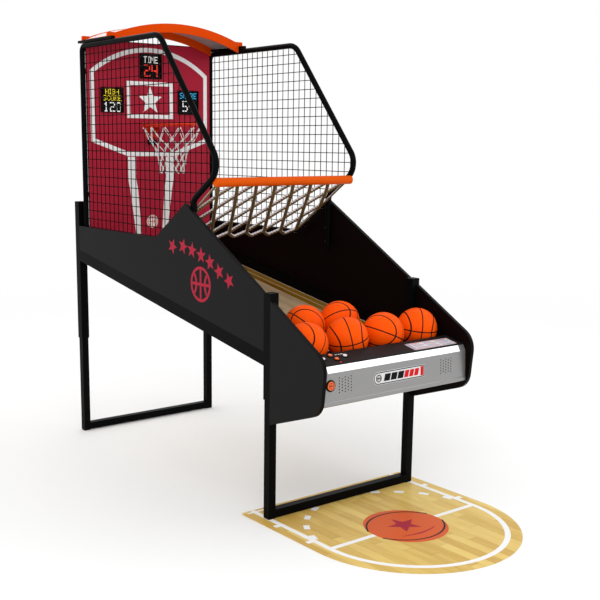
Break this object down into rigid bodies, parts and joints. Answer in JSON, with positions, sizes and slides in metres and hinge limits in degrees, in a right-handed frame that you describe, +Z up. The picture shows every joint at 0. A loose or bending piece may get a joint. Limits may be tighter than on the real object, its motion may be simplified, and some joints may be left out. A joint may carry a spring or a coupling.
{
  "type": "basketball hoop machine",
  "caption": "Free-standing basketball arcade machine: caged backboard and hoop over a sloping ball ramp, with a front console, steel legs and a court-pattern floor mat.",
  "frame": {"origin": "on the floor, on the machine's centre line, under the front face of the front posts", "axes": "+Z up, +Y from the player towards the backboard, +X towards the player's right"},
  "size_m": [1.096, 2.971, 2.5059],
  "materials": {
    "frame_black": "satin black powder coat",
    "mesh_black": "satin black powder coat on welded wire",
    "plastic_black": "fine-grained black plastic",
    "panel_graphite": "dark grey laminate on fibreboard",
    "rubber_black": "matt",
    "ramp_print": "printed board pattern under a satin lacquer",
    "trough_black": "black carpet-textured board",
    "bar_orange": "satin orange powder coat",
    "arch_orange": "satin orange powder coat",
    "rim_red": "gloss red-orange enamel",
    "roof_smoke": "translucent grey sheet",
    "board_crimson": "printed crimson court graphic, satin",
    "display_lens": "smoked acrylic",
    "net_white": "braided white nylon",
    "rope_tan": "twisted rope, light above and tan below",
    "zinc": "black zinc plate",
    "console_silver": "satin silver",
    "strip_white": "white diffuser",
    "card_print": "printed card under clear film",
    "name_plate": "printed badge",
    "led_red": "red lens",
    "cap_orange": "moulded orange cap",
    "cap_white": "moulded white cap",
    "ball_orange": "pebbled orange rubber with black channels",
    "mat_court": "printed wood-court vinyl on a rubber backing"
  },
  "bodies": {
    "root": {"backboard": "board_crimson", "backboard_rails": "frame_black", "ball_trough": "trough_black", "button_bezels": "plastic_black", "button_switches": "plastic_black", "console_back": "trough_black", "console_front": "console_silver", "console_light_strip": "strip_white", "console_top": "plastic_black", "controller_box": "plastic_black", "display_housings": "plastic_black", "display_lenses": "display_lens", "edge_trims": "plastic_black", "floor_mat": "mat_court", "foot_glides": "rubber_black", "frame_bolts": "zinc", "front_bar": "bar_orange", "front_leg_frame": "frame_black", "front_posts": "frame_black", "front_roof_arch": "arch_orange", "guard_net": "rope_tan", "guard_net_hooks": "zinc", "hoop_net": "net_white", "instruction_card": "card_print", "left_cage_frame": "frame_black", "left_cage_mesh": "mesh_black", "left_cheek_panel": "panel_graphite", "left_main_panel": "panel_graphite", "name_plate": "name_plate", "post_caps": "plastic_black", "power_inlet": "plastic_black", "ramp_board": "ramp_print", "ramp_frame": "frame_black", "rear_leg_frame": "frame_black", "rear_posts": "frame_black", "rear_roof_arch": "arch_orange", "right_cage_frame": "frame_black", "right_cage_mesh": "mesh_black", "right_cheek_panel": "panel_graphite", "right_main_panel": "panel_graphite", "rim": "rim_red", "rim_bolts": "zinc", "rim_bracket": "rim_red", "roof_rails": "frame_black", "roof_sheet": "roof_smoke", "score_sensor": "plastic_black", "speakers": "plastic_black", "status_led": "led_red"},
    "upper_button": {"upper_button": "cap_orange"},
    "lower_button": {"lower_button": "cap_orange"},
    "left_button": {"left_button": "cap_white"},
    "right_button": {"right_button": "cap_white"},
    "start_button": {"start_button": "cap_orange"},
    "ball_1": {"ball_1": "ball_orange"},
    "ball_2": {"ball_2": "ball_orange"},
    "ball_3": {"ball_3": "ball_orange"},
    "ball_4": {"ball_4": "ball_orange"},
    "ball_5": {"ball_5": "ball_orange"},
    "ball_6": {"ball_6": "ball_orange"}
  },
  "joints": [
    {"name": "upper_button_press", "type": "slide", "parent": "root", "child": "upper_button", "axis": [0, 0.1998, -0.9798], "range_m": [0, 0.003], "stiffness_N_per_m": 300, "springref_m": -0.002},
    {"name": "lower_button_press", "type": "slide", "parent": "root", "child": "lower_button", "axis": [0, 0.1998, -0.9798], "range_m": [0, 0.003], "stiffness_N_per_m": 300, "springref_m": -0.002},
    {"name": "left_button_press", "type": "slide", "parent": "root", "child": "left_button", "axis": [0, 0.1998, -0.9798], "range_m": [0, 0.003], "stiffness_N_per_m": 300, "springref_m": -0.002},
    {"name": "right_button_press", "type": "slide", "parent": "root", "child": "right_button", "axis": [0, 0.1998, -0.9798], "range_m": [0, 0.003], "stiffness_N_per_m": 300, "springref_m": -0.002},
    {"name": "start_button_press", "type": "slide", "parent": "root", "child": "start_button", "axis": [0, 0.9991, -0.0413], "range_m": [0, 0.003], "stiffness_N_per_m": 300, "springref_m": -0.002},
    {"name": "ball_1_lift", "type": "slide", "parent": "root", "child": "ball_1", "axis": [0, 0, 1], "range_m": [0, 0.35]},
    {"name": "ball_2_lift", "type": "slide", "parent": "root", "child": "ball_2", "axis": [0, 0, 1], "range_m": [0, 0.35]},
    {"name": "ball_3_lift", "type": "slide", "parent": "root", "child": "ball_3", "axis": [0, 0, 1], "range_m": [0, 0.35]},
    {"name": "ball_4_lift", "type": "slide", "parent": "root", "child": "ball_4", "axis": [0, 0, 1], "range_m": [0, 0.35]},
    {"name": "ball_5_lift", "type": "slide", "parent": "root", "child": "ball_5", "axis": [0, 0, 1], "range_m": [0, 0.35]},
    {"name": "ball_6_lift", "type": "slide", "parent": "root", "child": "ball_6", "axis": [0, 0, 1], "range_m": [0, 0.35]}
  ]
}
